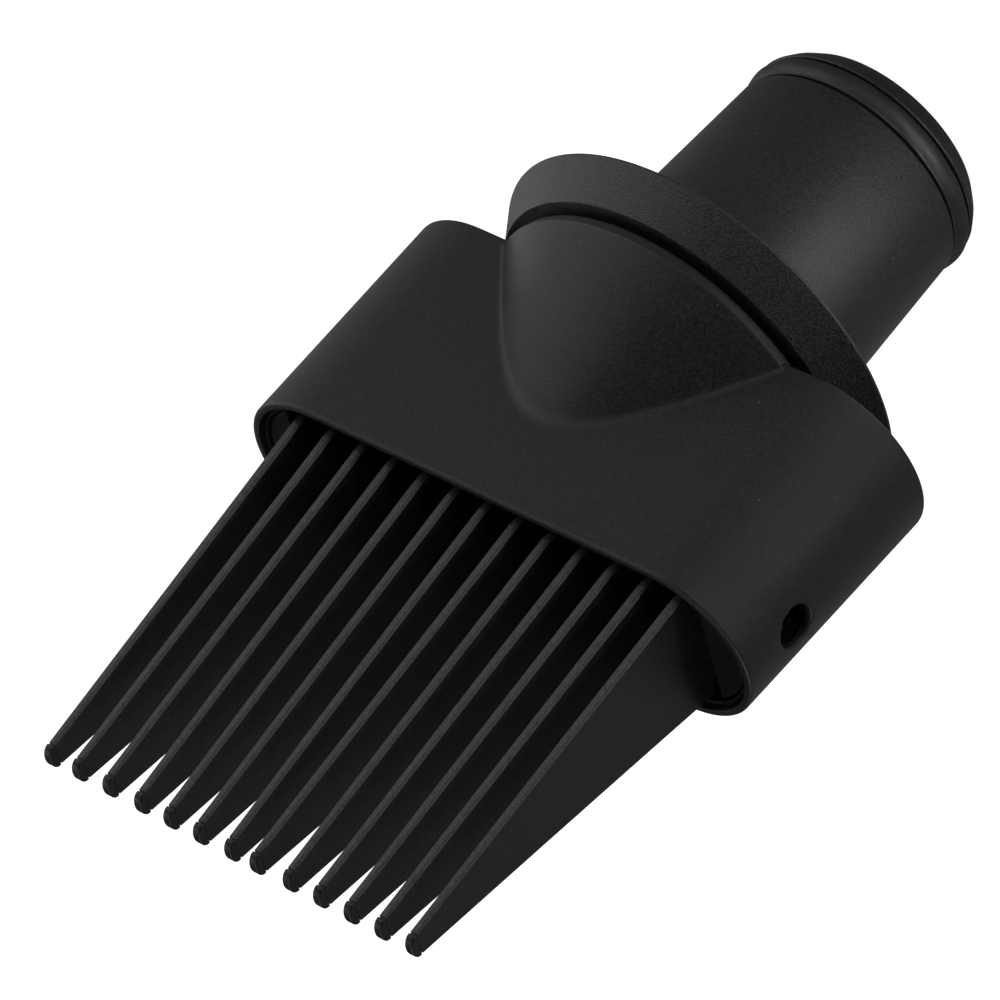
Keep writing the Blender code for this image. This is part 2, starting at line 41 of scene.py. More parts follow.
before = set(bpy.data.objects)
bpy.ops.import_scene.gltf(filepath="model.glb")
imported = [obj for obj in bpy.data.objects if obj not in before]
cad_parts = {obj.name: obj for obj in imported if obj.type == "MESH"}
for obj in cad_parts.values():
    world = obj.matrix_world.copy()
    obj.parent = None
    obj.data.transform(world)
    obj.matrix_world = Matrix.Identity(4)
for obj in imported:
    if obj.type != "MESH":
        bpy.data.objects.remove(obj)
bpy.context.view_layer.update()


def low(node):
    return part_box(node)[0]


def high(node):
    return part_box(node)[1]


# ---------------------------------------------------------------- sizes

GAP = 0.3 * MM
ROUND = 320                      # segments round a turned piece
OVAL_COUNT = 720                 # points round the nozzle shell
LINER_COUNT = 360                # points round the pieces inside it

# Spigot
END_FACE_R = 17.9 * MM
END_CHAMFER_R = 19.6 * MM
END_CHAMFER_Z = 1.9 * MM
END_BORE_R = 16.3 * MM
END_FLOOR = 1.2 * MM
END_RING_R = high("spigot_end_ring").x
END_RING_TOP = high("spigot_end_ring").z
NECK_R = 18.4 * MM
NECK_BORE_R = 16.6 * MM
SEAL_EDGE_R = 20.5 * MM
SEAL_TAPER = 0.25 * MM
SEAL_BULGE = 0.75 * MM
SEAL_SKEW = 0.8                  # below 1, the bulge is highest nearer to the end ring
SEAL_FULLNESS = 0.8              # below 1, the bulge is fuller than a sine
SEAL_STEPS = 22
SEAL_WAVE = 0.12 * MM            # size of the seal's unevenness
SEAL_TOP = high("spigot_seal").z
TUBE_REAR = SEAL_TOP + 0.4 * MM
TUBE_REAR_R = 20.6 * MM
TUBE_FRONT_R = 22.2 * MM
BORE_R = 19.0 * MM
BORE_START = 12.0 * MM

# Collar
COLLAR_REAR = low("collar_ring").z
COLLAR_FRONT = high("collar_ring").z
COLLAR_REAR_R = high("collar_ring").x
COLLAR_FRONT_R = 32.25 * MM
COLLAR_BORE_R = 22.5 * MM
PLATE_R = high("collar_back_plate").x
PLATE_THICK = 1.1 * MM
WEB_FRONT = 48.2 * MM
FLANGE_R = 26.5 * MM
FLANGE_THICK = 2.0 * MM
HUB_R = 21.0 * MM
HUB_TOP = high("spigot_tube").z
CLIP_GROOVE_R = 20.0 * MM
CLIP_GROOVE = (57.3 * MM, 58.9 * MM)  # its bottom and top

# Nozzle shell
NECK_REAR = low("nozzle_shell").z
SHELL_REAR = 54.0 * MM
MOUTH = high("nozzle_shell").z
REAR_HALF_LENGTH = high("nozzle_shell").x
REAR_HALF_THICK = 16.1 * MM
MOUTH_HALF_LENGTH = REAR_HALF_LENGTH - 0.8 * MM
MOUTH_HALF_THICK = REAR_HALF_THICK - 0.9 * MM
SHELL_WALL = 1.25 * MM
REAR_WALL = 2.0 * MM
BOSS_REAR = 55.0 * MM            # rear edge of the cone boss
BOSS_R = 31.3 * MM
BOSS_ROUND = 0.3 * MM
BOSS_SLOPE = 0.63
BAND_REAR = 53.4 * MM            # the narrow band behind that edge
BAND_R = 30.7 * MM
BAND_ROUND = 0.25 * MM
BOSS_WALL = 2.0 * MM
BOSS_BLEND = 0.9 * MM            # softness of the crease between the boss and the oval
NOZZLE_NECK_R = 25.6 * MM
NOZZLE_BORE_R = 21.4 * MM
REAR_ROUND = 0.4 * MM
MOUTH_ROUND = 0.45 * MM
INNER_ROUND = 0.08 * MM
SHELL_LOOPS = 104                # loops along the shell's outside
CAVITY_LOOPS = 22                # and along its inside

# Side screws
SCREW_Z = (low("side_screw_left").z + high("side_screw_left").z) / 2
ACCESS_R = 3.5 * MM
ACCESS_ROUND = 0.45 * MM
ACCESS_BEYOND = (0.4 * MM, 0.25 * MM)  # how much wider and further out than the rim the cutter ends
ACCESS_COUNT = 72                # points round the hole
HEAD_R = (high("side_screw_left").z - low("side_screw_left").z) / 2
HEAD_THICK = 1.7 * MM
SHANK_R = 1.4 * MM
SHANK_END_R = 0.7 * SHANK_R
SHANK_TAPER = 0.4 * MM           # length of the taper at the shank's end
CUP_R = 4.3 * MM
CUP_FLOOR = 1.2 * MM
CUP_INNER_X = 42.5 * MM
HEAD_PLAY = 0.2 * MM             # clearance between the head and the cup's floor
HEAD_EDGE = 0.55                 # share of the head's height below its dome
HEAD_DOME = 0.6                  # share of the head's radius that the dome curves over
RECESS_REACH = 1.8 * MM
RECESS_HALF = 0.35 * MM
RECESS_DEPTH = 0.9 * MM

# Duct and comb carrier
DUCT_REAR = low("inner_duct").z
DUCT_TOP = high("inner_duct").z
DUCT_HALF_LENGTH = high("inner_duct").x
DUCT_HALF_THICK = 13.7 * MM
DUCT_FULL_Z = 74.0 * MM          # where the duct reaches its full length along X
DUCT_CONE_PLAY = 0.45 * MM
DUCT_CONE_R = BOSS_R - BOSS_SLOPE * (DUCT_REAR - BOSS_REAR) - BOSS_WALL - DUCT_CONE_PLAY
DUCT_WALL = 0.8 * MM
DUCT_CONE_WALL = 1.2 * MM
DUCT_ROUND = 0.2 * MM
DUCT_LOOPS = 36
CARRIER_REAR = low("comb_carrier").z
CARRIER_FRONT = 86.0 * MM
CARRIER_RAIL = 3.0 * MM
LUG_INNER_X = 39.2 * MM
LUG_FRONT = high("comb_carrier").z
SLOT_FLOOR = 79.6 * MM
CARRIER_ROUND = 0.25 * MM
LUG_FLARE = 0.3 * MM

# Cutters run out to here, well past what they cut
CUT_X = 60 * MM
CUT_Y = 20 * MM
CUT_Z = 100 * MM

# Comb
BLADES = 13
PITCH_MOUTH = 6.05 * MM
PITCH_TIP = 5.77 * MM
BLADE_REAR = low("comb_blade_07").z
BLADE_TOP = high("comb_blade_07").z
BLADE_MOUTH_THICK = 1.6 * MM
BLADE_TIP_THICK = 1.4 * MM
FRONT_EDGE_MOUTH = low("comb_blade_07").y
BACK_EDGE_MOUTH = high("comb_blade_07").y
FRONT_EDGE_TIP = -2.2 * MM
BACK_EDGE_TIP = 2.1 * MM
LAND_EDGE = 0.22 * MM            # width of the chamfers beside a blade's flat edge
LAND_GROOVE = 0.42 * MM          # how far the fine groove runs from the blade's side
GROOVE_HALF = 0.05 * MM
GROOVE_DEPTH = 0.07 * MM
STRIP_DROP = 0.02 * MM           # how much lower the strip beyond the groove lies
STRIP_EDGE = (0.12 * MM, 0.10 * MM)  # its edge's place, from the blade's side and from its land
BLADE_TOP_ROUND = 0.06 * MM
BLADE_INSIDE = (88 * MM, MOUTH - MM, MOUTH - 0.2 * MM)  # loops inside the mouth
BLADE_LOOPS = 26                 # loops from the mouth to the blade's end
TIP_TOP = high("blade_tip_07").z
TIP_ROUND = 0.22 * MM
TIP_ARC = 28                     # steps round its half-round end
TIP_SHOULDER = 0.1               # share of the tip's height below its half-round end
CORE_SHARE = (0.8, 0.9)          # the core in the tip's joint, as a share of the blade
SPRING_CURVE = 1.6               # above 1, a blade bends most near its end
LEAN = -0.4 * MM                 # every tip leans a little towards -X
# What the tips of some blades, by their numbers, lean besides
BENT = {1: 0.6 * MM, 2: 0.8 * MM, 3: 0.5 * MM, 7: -0.3 * MM, 8: 0.6 * MM}


# ---------------------------------------------------------------- mesh tools

def between(value, start, first, end, last):
    """The straight-line value, held at its ends."""
    share = min(1.0, max(0.0, (value - start) / (end - start)))
    return first + (last - first) * share


def mesh_object(name, verts, faces):
    mesh = bpy.data.meshes.new(name)
    mesh.from_pydata([tuple(v) for v in verts], [], faces)
    mesh.validate()
    obj = bpy.data.objects.new(name, mesh)
    bpy.context.scene.collection.objects.link(obj)
    return obj


def outward(obj):
    """Turn every face outwards and shade smooth."""
    bm = bmesh.new()
    bm.from_mesh(obj.data)
    bmesh.ops.recalc_face_normals(bm, faces=bm.faces)
    bm.to_mesh(obj.data)
    bm.free()
    obj.data.shade_smooth()
    return obj


def skin(name, loops, wrap=True):
    """A closed body through loops of equal length. Without wrap, the end loops are capped."""
    loops = np.asarray(loops)
    rows, count = loops.shape[:2]
    index = np.arange(rows * count).reshape(rows, count)
    faces = []
    for row in range(rows if wrap else rows - 1):
        here, there = index[row], index[(row + 1) % rows]
        faces += np.stack([here, np.roll(here, -1), np.roll(there, -1), there], 1).tolist()
    if not wrap:
        faces += [index[0][::-1].tolist(), index[-1].tolist()]
    return outward(mesh_object(name, loops.reshape(-1, 3), faces))


def fillet(points, radii, steps=5):
    """Round the corners of a closed (u, v) outline, each by its own radius."""
    result = []
    count = len(points)
    for i, radius in enumerate(radii):
        corner = Vector(points[i])
        if radius <= 0:
            result.append(tuple(corner))
            continue
        before = (Vector(points[i - 1]) - corner).normalized()
        after = (Vector(points[(i + 1) % count]) - corner).normalized()
        half = before.angle(after) / 2
        reach = radius / math.tan(half)
        centre = corner + (before + after).normalized() * (radius / math.sin(half))
        start = corner + before * reach - centre
        end = corner + after * reach - centre
        sweep = start.angle_signed(end)
        for step in range(steps + 1):
            turn = Matrix.Rotation(-sweep * step / steps, 2)
            result.append(tuple(centre + turn @ start))
    return result


def quarter_turn(steps):
    """Angles from 0 to a right angle, for rounding an edge."""
    return [math.pi / 2 * i / steps for i in range(steps + 1)]


def subdivided(points, longest):
    """Split the long sides of a closed outline so that no side is longer than longest."""
    result = []
    for i, point in enumerate(points):
        after = points[(i + 1) % len(points)]
        pieces = max(1, math.ceil(math.dist(point, after) / longest))
        for step in range(pieces):
            share = step / pieces
            result.append(tuple(a + (b - a) * share for a, b in zip(point, after)))
    return result


def lathe(name, points, radii, longest=4 * MM, wobble=None):
    """Spin a closed outline of (radius, height) about Z; what wobble returns adds to the radius."""
    outline = np.array(subdivided(fillet(points, radii), longest))
    angles = np.arange(ROUND) * TAU / ROUND
    loops = []
    for radius, height in outline:
        r = np.full(ROUND, radius)
        if wobble is not None:
            r = r + wobble(angles, radius, height)
        loops.append(np.stack([r * np.cos(angles), r * np.sin(angles),
                               np.full(ROUND, height)], 1))
    return skin(name, loops)


def oval_directions(count, half_length, half_thick):
    """Unit directions from the axis to points spaced evenly round an oval."""
    straight = 2 * (half_length - half_thick)
    arc = math.pi * half_thick
    lengths = (np.arange(count) + 0.5) * 2 * (straight + arc) / count
    points = []
    for length in lengths:
        side = 1
        if length > straight + arc:
            length, side = length - straight - arc, -1
        if length < arc:
            angle = length / half_thick - math.pi / 2
            point = (straight / 2 + half_thick * math.cos(angle), half_thick * math.sin(angle))
        else:
            point = (straight / 2 - (length - arc), half_thick)
        points.append((side * point[0], side * point[1]))
    points = np.array(points)
    return points / np.linalg.norm(points, axis=1, keepdims=True)


def oval_radius(directions, half_length, half_thick):
    """Distance from the axis to the oval's edge in each direction."""
    across, along = np.abs(directions[:, 1]), np.abs(directions[:, 0])
    centre = half_length - half_thick
    flat = half_thick / np.maximum(across, 1e-9)
    on_end = flat * along > centre
    reach = np.sqrt(np.maximum(half_thick ** 2 - (centre * across) ** 2, 0))
    return np.where(on_end, centre * along + reach, flat)


def smooth_greater(a, b, softness):
    """The greater of two lengths, rounded where they are nearly equal."""
    if softness <= 0:
        return np.maximum(a, b)
    near = np.maximum(softness - np.abs(a - b), 0) / softness
    return np.maximum(a, b) + near ** 2 * softness / 4


def loop_at(directions, radius, z):
    """A loop of points at height z; radius may be one number or one for each direction."""
    radius = np.broadcast_to(radius, len(directions))
    return np.column_stack([directions * radius[:, None], np.full(len(directions), z)])


def box_mesh(name, lower, upper):
    """A cutter with straight sides."""
    x, y, z = zip(lower, upper)
    loops = [[(x[i], y[j], z[k]) for i, j in ((0, 0), (1, 0), (1, 1), (0, 1))]
             for k in (0, 1)]
    return skin(name, loops, wrap=False)


def prism(name, outline, y0, y1):
    """A cutter with an (x, z) outline, running along Y."""
    return skin(name, [[(x, y, z) for x, z in outline] for y in (y0, y1)], wrap=False)


def boolean(obj, tool, operation="DIFFERENCE"):
    modifier = obj.modifiers.new("cut", "BOOLEAN")
    modifier.object = tool
    modifier.operation = operation
    modifier.solver = "EXACT"
    bpy.context.view_layer.update()
    evaluated = obj.evaluated_get(bpy.context.evaluated_depsgraph_get())
    mesh = bpy.data.meshes.new_from_object(evaluated)
    obj.modifiers.clear()
    obj.data = mesh
    bpy.data.objects.remove(tool, do_unlink=True)
    return obj


def joined(objects):
    """Several separate cutters as one object, so that one boolean does them all."""
    bm = bmesh.new()
    for obj in objects:
        bm.from_mesh(obj.data)
        bpy.data.objects.remove(obj, do_unlink=True)
    mesh = bpy.data.meshes.new("cutters")
    bm.to_mesh(mesh)
    bm.free()
    result = bpy.data.objects.new("cutters", mesh)
    bpy.context.scene.collection.objects.link(result)
    return result


def finish(obj, material, body, node, sharp_degrees=40):
    """Shade and paint a piece in its material slot, tie it to its body, and hide the CAD node it
    replaces.
    """
    mesh = obj.data
    mesh.materials.clear()
    mesh.materials.append(material)
    mesh.shade_smooth()
    mesh.set_sharp_from_angle(angle=math.radians(sharp_degrees))
    weighted = obj.modifiers.new("weighted", "WEIGHTED_NORMAL")
    weighted.keep_sharp = True
    weighted.weight = 60
    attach(obj, body)
    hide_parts(node)
    return obj


# ---------------------------------------------------------------- materials

class Nodes:
    """A short way to add and link shader nodes in one material."""

    def __init__(self, name):
        self.material = bpy.data.materials.new(name)
        self.material.use_nodes = True
        self.tree = self.material.node_tree
        self.shader = self.tree.nodes["Principled BSDF"]
        place = self.tree.nodes.new("ShaderNodeTexCoord")
        self.coords, self.normal = place.outputs["Object"], place.outputs["Normal"]

    def add(self, kind, inputs=None, **settings):
        node = self.tree.nodes.new(kind)
        for key, value in settings.items():
            setattr(node, key, value)
        for key, value in (inputs or {}).items():
            if isinstance(value, bpy.types.NodeSocket):
                self.tree.links.new(value, node.inputs[key])
            else:
                node.inputs[key].default_value = value
        return node

    def noise(self, feature, detail=2.0, roughness=0.5, stretch=None):
        """Noise whose features are about as large as feature, in metres."""
        coords = self.coords
        if stretch is not None:
            coords = self.add("ShaderNodeMapping", {"Vector": coords, "Scale": stretch}).outputs[0]
        return self.add("ShaderNodeTexNoise", {
            "Vector": coords, "Scale": 1 / feature, "Detail": detail,
            "Roughness": roughness}).outputs["Fac"]

    def remap(self, value, from_low, from_high, to_low, to_high):
        return self.add("ShaderNodeMapRange", {
            "Value": value, "From Min": from_low, "From Max": from_high,
            "To Min": to_low, "To Max": to_high}).outputs[0]

    def math(self, operation, a, b):
        return self.add("ShaderNodeMath", {0: a, 1: b}, operation=operation).outputs[0]

    def mix(self, factor, a, b):
        node = self.add("ShaderNodeMix", {"Factor": factor}, data_type="RGBA")
        for socket, value in ((node.inputs[6], a), (node.inputs[7], b)):
            if isinstance(value, bpy.types.NodeSocket):
                self.tree.links.new(value, socket)
            else:
                socket.default_value = (*value, 1.0)
        return node.outputs[2]

    def bump(self, height, distance, strength=1.0, normal=None):
        inputs = {"Height": height, "Distance": distance, "Strength": strength}
        if normal is not None:
            inputs["Normal"] = normal
        return self.add("ShaderNodeBump", inputs).outputs[0]

    def set(self, socket, value):
        if isinstance(value, bpy.types.NodeSocket):
            self.tree.links.new(value, self.shader.inputs[socket])
        else:
            self.shader.inputs[socket].default_value = value


def grey(value, tint=0.0):
    """A grey in linear light; tint above 0 makes it a little cooler."""
    return (value * (1 - tint / 2), value, value * (1 + tint))


def specks(nodes, spacing, radius, share):
    """1 on a few scattered dust specks, else 0."""
    cells = nodes.add("ShaderNodeTexVoronoi", {"Vector": nodes.coords, "Scale": 1 / spacing},
                      feature="F1")
    near = nodes.remap(cells.outputs["Distance"], radius / spacing * 0.5, radius / spacing, 1, 0)
    chosen = nodes.math("GREATER_THAN", nodes.add(
        "ShaderNodeSeparateColor", {"Color": cells.outputs["Color"]}).outputs[0], 1 - share)
    return nodes.math("MULTIPLY", near, chosen)


FINE_GRAIN = 0.42 * MM           # speckle in the moulded surfaces
LAND_HIGHLIGHT_TONE = 9.0                  # how much lighter the blades' front lands are painted than their sides: a painted highlight on faces turned towards -Y


def plastic(name, tone, roughness, specular=0.5, grain=0.14 * MM, grain_depth=0.006 * MM,
            mottle=0.25, dust=0.2, edge_wear_and_highlight=0.5, scratch=0.0, land=False, speckle=3.4):
    """Moulded matte plastic: fine grain, cloudy tone, edges lightened as wear and as a painted
    highlight, and a little dust.
    """
    nodes = Nodes(name)
    cloud = nodes.noise(14 * MM, 3, 0.6)
    fine = nodes.noise(FINE_GRAIN, 3, 0.7)
    edge = nodes.add("ShaderNodeNewGeometry").outputs["Pointiness"]
    # Pointy edges painted lighter: part wear, part a painted highlight where edges catch the light.
    edge_wear_and_highlight_mask = nodes.remap(edge, 0.53, 0.62, 0, edge_wear_and_highlight)
    edge_wear_and_highlight_mask = nodes.math("MULTIPLY", edge_wear_and_highlight_mask, nodes.remap(nodes.noise(1.6 * MM, 3), 0.35, 0.6, 0.3, 1))

    darker, lighter = grey(tone * (1 - mottle)), grey(tone * (1 + mottle))
    colour = nodes.mix(nodes.remap(cloud, 0.3, 0.7, 0.25, 0.75), darker, lighter)
    colour = nodes.mix(nodes.remap(fine, 0.42, 0.72, 0, 0.9), colour, grey(tone * speckle))
    # Lighter edges: wear together with a painted edge highlight.
    colour = nodes.mix(edge_wear_and_highlight_mask, colour, grey(tone * 2.6))
    colour = nodes.mix(specks(nodes, 3.4 * MM, 0.11 * MM, dust), colour, grey(0.28))
    if land:
        # Painted highlight: faces turned towards -Y, the blades' front lands, are made lighter, broken
        # up by noise.
        facing = nodes.add("ShaderNodeSeparateXYZ", {"Vector": nodes.normal}).outputs["Y"]
        land_highlight = nodes.remap(nodes.noise(0.5 * MM, 4, 0.75), 0.35, 0.65, 0.25, 1)
        land_highlight = nodes.math("MULTIPLY", land_highlight, nodes.remap(facing, -0.5, -0.8, 0, 1))
        colour = nodes.mix(land_highlight, colour, grey(tone * LAND_HIGHLIGHT_TONE))
    nodes.set("Base Color", colour)

    rough = nodes.remap(cloud, 0.3, 0.7, roughness - 0.04, roughness + 0.04)
    rough = nodes.math("ADD", rough, nodes.remap(fine, 0.3, 0.7, -0.1, 0.1))
    nodes.set("Roughness", nodes.math("SUBTRACT", rough, nodes.math("MULTIPLY", edge_wear_and_highlight_mask, 0.1)))
    nodes.set("Specular IOR Level", specular)

    height = nodes.noise(grain, 2, 0.6)
    normal = nodes.bump(height, grain_depth)
    if scratch:
        lines = nodes.noise(0.5 * MM, 2, 0.5, stretch=(1.0, 1.0, 0.03))
        normal = nodes.bump(nodes.remap(lines, 0.62, 0.68, 0, 1), scratch, normal=normal)
    nodes.set("Normal", normal)
    return nodes.material


def rubber(name, tone, roughness):
    """Soft seal: dull, dusty and scuffed in short arcs."""
    nodes = Nodes(name)
    cloud = nodes.noise(5 * MM, 4, 0.65)
    scuff = nodes.remap(nodes.noise(1.3 * MM, 4, 0.7, stretch=(1.0, 1.0, 4.0)), 0.52, 0.7, 0, 1)
    colour = nodes.mix(cloud, grey(tone * 0.7), grey(tone * 1.4))
    colour = nodes.mix(nodes.math("MULTIPLY", scuff, 0.5), colour, grey(tone * 3.0))
    colour = nodes.mix(specks(nodes, 2.2 * MM, 0.1 * MM, 0.2), colour, grey(0.25))
    nodes.set("Base Color", colour)
    nodes.set("Roughness", nodes.remap(scuff, 0, 1, roughness, roughness - 0.12))
    normal = nodes.bump(nodes.noise(2.2 * MM, 3, 0.6), 0.05 * MM)
    nodes.set("Normal", nodes.bump(nodes.noise(0.25 * MM, 2), 0.008 * MM, normal=normal))
    return nodes.material


def metal(name, colour, roughness, brushed=(1.0, 1.0, 1.0)):
    """Bare or plated metal with fine drawn lines and a little dulling."""
    nodes = Nodes(name)
    lines = nodes.noise(0.3 * MM, 3, 0.6, stretch=brushed)
    dull = nodes.noise(3 * MM, 3, 0.6)
    base = nodes.mix(dull, tuple(c * 0.75 for c in colour), colour)
    nodes.set("Base Color", base)
    nodes.set("Metallic", 1.0)
    nodes.set("Roughness", nodes.remap(dull, 0.3, 0.7, roughness - 0.06, roughness + 0.1))
    nodes.set("Normal", nodes.bump(lines, 0.004 * MM))
    return nodes.material


def make_materials():
    return {
        "shell": plastic("shell_plastic", 0.008, 0.5, grain=0.36 * MM, grain_depth=0.07 * MM),
        "tube": plastic("tube_plastic", 0.008, 0.46, specular=0.52, grain=0.38 * MM,
                        grain_depth=0.07 * MM, dust=0.3, scratch=0.006 * MM),
        "collar": plastic("collar_plastic", 0.0085, 0.46, specular=0.58, grain=0.36 * MM,
                          grain_depth=0.12 * MM, dust=0.3, edge_wear_and_highlight=0.8, speckle=5.5),
        "comb": plastic("comb_plastic", 0.0098, 0.5, specular=0.45, grain=0.4 * MM,
                        grain_depth=0.08 * MM, mottle=0.35, dust=0.08, edge_wear_and_highlight=0.8, land=True),
        "tip": plastic("tip_plastic", 0.007, 0.45, specular=0.42, grain=0.3 * MM, dust=0.05,
                       edge_wear_and_highlight=0.4),
        # Darker than the shell's plastic: painted shade for the duct and carrier inside the mouth.
        "inner": plastic("inner_plastic", 0.003, 0.65, specular=0.16, dust=0.05, edge_wear_and_highlight=1.0),
        "seal": rubber("seal_rubber", 0.014, 0.52),
        "washer": plastic("bearing_plastic", 0.55, 0.4, mottle=0.06, dust=0.02, edge_wear_and_highlight=0.0, speckle=1.1),
        "clip": metal("spring_steel", (0.45, 0.45, 0.46), 0.3, (1.0, 1.0, 8.0)),
        "magnet": metal("magnet_nickel", (0.62, 0.60, 0.56), 0.25),
        "screw": metal("screw_steel", (0.025, 0.025, 0.026), 0.5),
    }


# ---------------------------------------------------------------- adaptor

def make_end_ring(material):
    points = [
        (END_BORE_R, 0), (END_FACE_R, 0), (END_CHAMFER_R, END_CHAMFER_Z),
        (END_RING_R, END_RING_TOP), (NECK_R + GAP, END_RING_TOP),
        (NECK_R + GAP, END_FLOOR), (END_BORE_R, END_FLOOR),
    ]
    radii = [0.2 * MM, 0.5 * MM, 1.6 * MM, 0.35 * MM, 0, 0, 0.2 * MM]
    ring = lathe("end_ring", points, radii)
    return finish(ring, material, "adaptor", "spigot_end_ring")


def seal_wobble(angles, radius, height):
    """A soft seal doesn't sit quite true: its outside bulges unevenly."""
    if radius < NECK_R + 2 * MM:
        return np.zeros_like(angles)
    share = between(height, END_RING_TOP, 0, SEAL_TOP, 1)
    slow = 0.6 * np.sin(3 * angles + 1.1) + 0.5 * np.sin(5 * angles + 0.4 + 1.5 * share)
    quick = 0.3 * np.sin(11 * angles + 2.0) + 0.25 * np.sin(17 * angles + 4 * share)
    return (slow + quick - 1.1) * SEAL_WAVE


def make_seal(material):
    bottom = END_RING_TOP + GAP
    inner = NECK_R + GAP
    outline = [(inner, bottom)]
    for i in range(SEAL_STEPS + 1):
        share = i / SEAL_STEPS
        bulge = SEAL_BULGE * math.sin(math.pi * share ** SEAL_SKEW) ** SEAL_FULLNESS
        outline.append((SEAL_EDGE_R + bulge - SEAL_TAPER * share,
                        bottom + share * (SEAL_TOP - bottom)))
    outline.append((inner, SEAL_TOP))
    radii = [0] * len(outline)
    seal = lathe("spigot_seal_ring", outline, radii, wobble=seal_wobble)
    return finish(seal, material, "adaptor", "spigot_seal", sharp_degrees=60)


def make_tube(material):
    flange_bottom = WEB_FRONT + GAP
    flange_top = flange_bottom + FLANGE_THICK
    groove_bottom, groove_top = CLIP_GROOVE
    points = [
        (NECK_BORE_R, END_FLOOR + GAP), (NECK_R, END_FLOOR + GAP),
        (NECK_R, TUBE_REAR), (TUBE_REAR_R, TUBE_REAR),
        (TUBE_FRONT_R, COLLAR_REAR), (TUBE_FRONT_R, flange_bottom),
        (FLANGE_R, flange_bottom), (FLANGE_R, flange_top),
        (HUB_R, flange_top), (HUB_R, groove_bottom),
        (CLIP_GROOVE_R, groove_bottom), (CLIP_GROOVE_R, groove_top),
        (HUB_R, groove_top), (HUB_R, HUB_TOP), (BORE_R, HUB_TOP),
        (BORE_R, BORE_START), (NECK_BORE_R, TUBE_REAR),
    ]
    radii = [0.0] * len(points)
    radii[3] = 0.45 * MM
    radii[13] = radii[14] = 0.3 * MM
    tube = lathe("tube", points, radii, longest=2 * MM)
    return finish(tube, material, "adaptor", "spigot_tube")


def make_collar(material):
    plate_front = COLLAR_REAR + PLATE_THICK + GAP
    points = [
        (PLATE_R + GAP, COLLAR_REAR), (COLLAR_REAR_R, COLLAR_REAR),
        (COLLAR_FRONT_R, COLLAR_FRONT), (FLANGE_R + GAP, COLLAR_FRONT),
        (FLANGE_R + GAP, WEB_FRONT), (COLLAR_BORE_R, WEB_FRONT),
        (COLLAR_BORE_R, plate_front), (PLATE_R + GAP, plate_front),
    ]
    radii = [0.1 * MM, 0.45 * MM, 0.3 * MM, 0.2 * MM, 0, 0, 0, 0]
    collar = lathe("collar", points, radii, longest=1.5 * MM)
    return finish(collar, material, "adaptor", "collar_ring")


def make_back_plate(material):
    points = [
        (COLLAR_BORE_R, COLLAR_REAR), (PLATE_R, COLLAR_REAR),
        (PLATE_R, COLLAR_REAR + PLATE_THICK), (COLLAR_BORE_R, COLLAR_REAR + PLATE_THICK),
    ]
    plate = lathe("back_plate", points, [0.15 * MM, 0.15 * MM, 0, 0], longest=3 * MM)
    return finish(plate, material, "adaptor", "collar_back_plate")


# ---------------------------------------------------------------- nozzle

def shell_outline(z):
    """Half length and half thickness of the shell's oval at height z."""
    return (between(z, SHELL_REAR, REAR_HALF_LENGTH, MOUTH, MOUTH_HALF_LENGTH),
            between(z, SHELL_REAR, REAR_HALF_THICK, MOUTH, MOUTH_HALF_THICK))


def boss_radius(z):
    return BOSS_R - BOSS_SLOPE * (z - BOSS_REAR)


def shell_loop(directions, z, inset, boss_inset):
    length, thick = shell_outline(z)
    oval = oval_radius(directions, length - inset, thick - inset)
    return loop_at(directions, smooth_greater(oval, boss_radius(z) - boss_inset, BOSS_BLEND), z)


def band_loop(directions, z, inset):
    """The oval together with the narrow round band behind the boss's rear edge."""
    length, thick = shell_outline(z)
    oval = oval_radius(directions, length - inset, thick - inset)
    return loop_at(directions, np.maximum(oval, BAND_R), z)


def make_shell(material):
    directions = oval_directions(OVAL_COUNT, REAR_HALF_LENGTH, REAR_HALF_THICK)
    loops = []
    for z, radius in ((NECK_REAR, NOZZLE_BORE_R), (NECK_REAR, NOZZLE_NECK_R),
                      (BAND_REAR, NOZZLE_NECK_R)):
        loops.append(loop_at(directions, radius, z))
    quarter = quarter_turn(4)
    for angle in quarter:
        loops.append(loop_at(directions, BAND_R - BAND_ROUND * (1 - math.sin(angle)),
                             BAND_REAR + BAND_ROUND * (1 - math.cos(angle))))
    loops.append(loop_at(directions, BAND_R, SHELL_REAR))
    for angle in quarter:
        inset = REAR_ROUND * (1 - math.sin(angle))
        z = SHELL_REAR + REAR_ROUND * (1 - math.cos(angle))
        loops.append(band_loop(directions, z, inset))
    loops.append(band_loop(directions, BOSS_REAR, 0))
    for angle in quarter:
        loops.append(shell_loop(directions, BOSS_REAR + BOSS_ROUND * (1 - math.cos(angle)), 0,
                                BOSS_ROUND * (1 - math.sin(angle))))
    for z in np.linspace(BOSS_REAR + BOSS_ROUND, MOUTH - MOUTH_ROUND, SHELL_LOOPS)[1:-1]:
        loops.append(shell_loop(directions, z, 0, 0))
    for angle in quarter_turn(7):
        inset = MOUTH_ROUND * (1 - math.cos(angle))
        loops.append(shell_loop(directions, MOUTH - MOUTH_ROUND * (1 - math.sin(angle)),
                                inset, inset))
    for angle in reversed(quarter):
        inset = SHELL_WALL - INNER_ROUND * (1 - math.cos(angle))
        loops.append(shell_loop(directions, MOUTH - INNER_ROUND * (1 - math.sin(angle)),
                                inset, BOSS_WALL))
    cavity_rear = SHELL_REAR + REAR_WALL
    for z in np.linspace(MOUTH - INNER_ROUND, cavity_rear, CAVITY_LOOPS)[1:]:
        loops.append(shell_loop(directions, z, SHELL_WALL, BOSS_WALL))
    loops.append(loop_at(directions, NOZZLE_BORE_R, cavity_rear))
    shell = skin("shell", loops)
    for side in (1, -1):
        boolean(shell, access_cutter(side))
    return finish(shell, material, "nozzle", "nozzle_shell", sharp_degrees=38)


def end_surface(y, z):
    """x of the shell's round end at (y, z)."""
    length, thick = shell_outline(z)
    return length - thick + math.sqrt(thick ** 2 - y ** 2)


